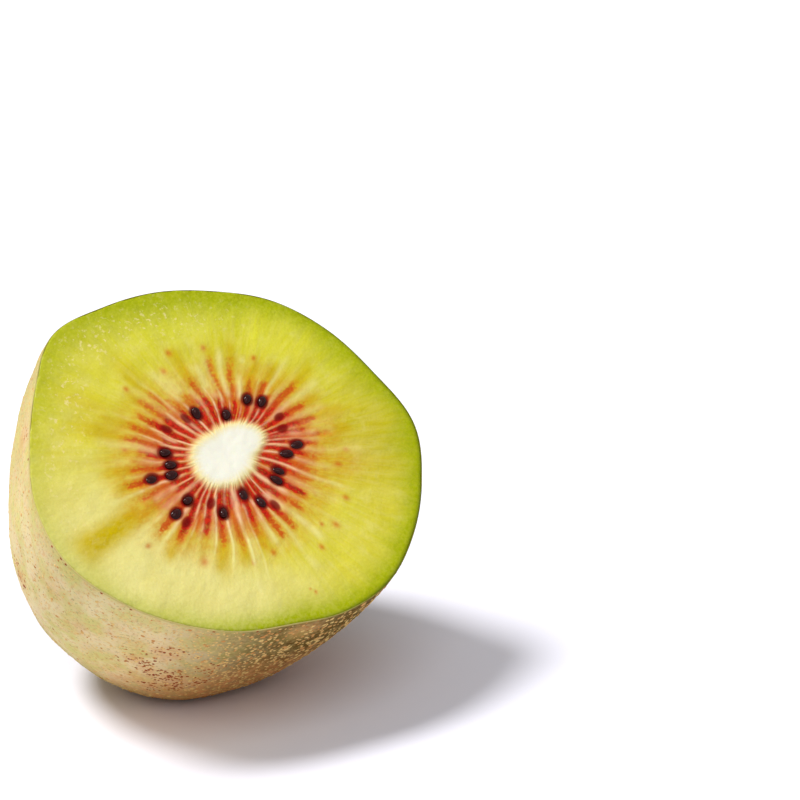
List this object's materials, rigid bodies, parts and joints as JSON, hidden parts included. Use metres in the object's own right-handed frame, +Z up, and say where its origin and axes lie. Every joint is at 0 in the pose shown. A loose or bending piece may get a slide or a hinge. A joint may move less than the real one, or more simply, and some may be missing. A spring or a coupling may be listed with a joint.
{
  "type": "half kiwi fruit",
  "caption": "Half of a red-hearted kiwi fruit, cut across, lying on its side with the cut face turned up and forward.",
  "frame": {"origin": "on the surface that the fruit lies on, below the middle of its bounding box", "axes": "+Z up; the cut face looks towards -Y and leans back at 45 degrees to the table; +X is to the right for a viewer who faces the cut"},
  "size_m": [0.0526, 0.0486, 0.0494],
  "materials": {
    "kiwi_skin": "thin matt green-brown fruit skin with pale raised dots",
    "kiwi_flesh": "wet yellow-green fruit flesh with red streaks round a white core",
    "kiwi_seeds": "wet black-brown seeds"
  },
  "bodies": {
    "root": {"kiwi_half": "kiwi_skin"}
  },
  "joints": []
}
